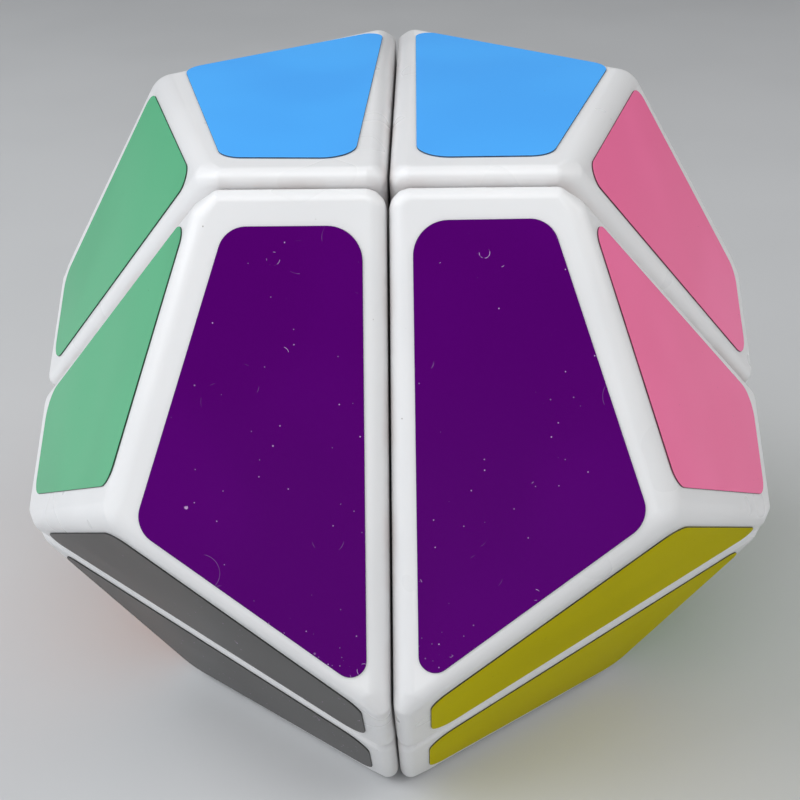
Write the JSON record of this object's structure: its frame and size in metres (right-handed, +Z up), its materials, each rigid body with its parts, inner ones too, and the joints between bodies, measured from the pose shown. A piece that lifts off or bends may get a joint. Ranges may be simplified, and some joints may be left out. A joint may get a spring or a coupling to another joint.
{
  "type": "dodecahedron twisty puzzle",
  "caption": "Dodecahedron twisty puzzle: white rounded corner pieces with coloured stickers turn in halves about square-set axes on a hidden sprung ball mechanism.",
  "frame": {"origin": "centre of the bottom face's outer plane, straight under the centre of the ball mechanism", "axes": "+Z up out of the top (blue) face, +X to the right along one turning axis, -Y towards the viewer, on the side of the purple face"},
  "size_m": [0.0758, 0.0794, 0.0663],
  "materials": {
    "shell_white": "moulded white ABS, lightly glossy",
    "inner_ivory": "moulded, unpolished",
    "core_dark": "moulded nylon, matte",
    "screw_steel": "zinc-plated steel",
    "spring_steel": "spring wire",
    "sticker_purple": "glossy vinyl",
    "sticker_blue": "glossy vinyl",
    "sticker_green": "glossy vinyl",
    "sticker_pink": "glossy vinyl",
    "sticker_grey": "glossy vinyl",
    "sticker_yellow": "glossy vinyl",
    "sticker_orange": "glossy vinyl",
    "sticker_red": "glossy vinyl",
    "sticker_navy": "glossy vinyl",
    "sticker_lime": "glossy vinyl",
    "sticker_cream": "glossy vinyl",
    "sticker_black": "glossy vinyl"
  },
  "bodies": {
    "keyed_corner": {"shell_bottom_left": "shell_white", "foot_bottom_left": "inner_ivory", "core": "core_dark", "screws": "screw_steel", "springs": "spring_steel", "keyed_caps": "inner_ivory", "inner_edge_bottom": "inner_ivory", "inner_edge_bottom_front_left": "inner_ivory", "inner_edge_bottom_back_left": "inner_ivory", "navy_sticker_left": "sticker_navy", "orange_sticker_lower": "sticker_orange", "grey_sticker_lower": "sticker_grey"},
    "front_left_corner": {"shell_front_left": "shell_white", "foot_front_left": "inner_ivory", "cap_upper_front": "inner_ivory", "inner_edge_front_top_left": "inner_ivory", "inner_edge_front": "inner_ivory", "purple_sticker_left": "sticker_purple", "green_sticker_lower": "sticker_green", "grey_sticker_upper": "sticker_grey"},
    "bottom_right_corner": {"shell_bottom_right": "shell_white", "foot_bottom_right": "inner_ivory", "cap_right": "inner_ivory", "inner_edge_bottom_back_right": "inner_ivory", "inner_edge_bottom_front_right": "inner_ivory", "navy_sticker_right": "sticker_navy", "lime_sticker_lower": "sticker_lime", "yellow_sticker_lower": "sticker_yellow"},
    "back_left_corner": {"shell_back_left": "shell_white", "foot_back_left": "inner_ivory", "cap_upper_back": "inner_ivory", "inner_edge_back_top_left": "inner_ivory", "inner_edge_back": "inner_ivory", "red_sticker_left": "sticker_red", "orange_sticker_upper": "sticker_orange", "cream_sticker_lower": "sticker_cream"},
    "front_right_corner": {"shell_front_right": "shell_white", "foot_front_right": "inner_ivory", "inner_edge_front_top_right": "inner_ivory", "purple_sticker_right": "sticker_purple", "pink_sticker_lower": "sticker_pink", "yellow_sticker_upper": "sticker_yellow"},
    "top_left_corner": {"shell_top_left": "shell_white", "foot_top_left": "inner_ivory", "inner_edge_top": "inner_ivory", "blue_sticker_left": "sticker_blue", "green_sticker_upper": "sticker_green", "cream_sticker_upper": "sticker_cream"},
    "back_right_corner": {"shell_back_right": "shell_white", "foot_back_right": "inner_ivory", "inner_edge_back_top_right": "inner_ivory", "red_sticker_right": "sticker_red", "lime_sticker_upper": "sticker_lime", "black_sticker_lower": "sticker_black"},
    "top_right_corner": {"shell_top_right": "shell_white", "foot_top_right": "inner_ivory", "blue_sticker_right": "sticker_blue", "pink_sticker_upper": "sticker_pink", "black_sticker_upper": "sticker_black"}
  },
  "joints": [
    {"name": "upper_front_half_turn", "type": "hinge", "parent": "keyed_corner", "child": "front_left_corner", "pos_m": [0, 0, 0.03315], "axis": [0, -0.5257, 0.8507], "continuous": true},
    {"name": "right_half_turn", "type": "hinge", "parent": "keyed_corner", "child": "bottom_right_corner", "pos_m": [0, 0, 0.03315], "axis": [1, 0, 0], "range_deg": [-360, 360]},
    {"name": "upper_back_half_turn", "type": "hinge", "parent": "keyed_corner", "child": "back_left_corner", "pos_m": [0, 0, 0.03315], "axis": [0, 0.8507, 0.5257], "range_deg": [-360, 360]},
    {"name": "right_half_turn_front", "type": "hinge", "parent": "front_left_corner", "child": "front_right_corner", "pos_m": [0, 0, 0.03315], "axis": [1, 0, 0], "range_deg": [-360, 360]},
    {"name": "upper_back_half_turn_top_left", "type": "hinge", "parent": "front_left_corner", "child": "top_left_corner", "pos_m": [0, 0, 0.03315], "axis": [0, 0.8507, 0.5257], "range_deg": [-360, 360]},
    {"name": "upper_back_half_turn_back_right", "type": "hinge", "parent": "bottom_right_corner", "child": "back_right_corner", "pos_m": [0, 0, 0.03315], "axis": [0, 0.8507, 0.5257], "range_deg": [-360, 360]},
    {"name": "upper_back_half_turn_top_right", "type": "hinge", "parent": "front_right_corner", "child": "top_right_corner", "pos_m": [0, 0, 0.03315], "axis": [0, 0.8507, 0.5257], "range_deg": [-360, 360]}
  ],
  "couplings": [
    {"joint": "right_half_turn_front", "follows": "right_half_turn", "ratio": 1},
    {"joint": "upper_back_half_turn_top_left", "follows": "upper_back_half_turn", "ratio": 1},
    {"joint": "upper_back_half_turn_back_right", "follows": "upper_back_half_turn", "ratio": 1},
    {"joint": "upper_back_half_turn_top_right", "follows": "upper_back_half_turn", "ratio": 1}
  ]
}
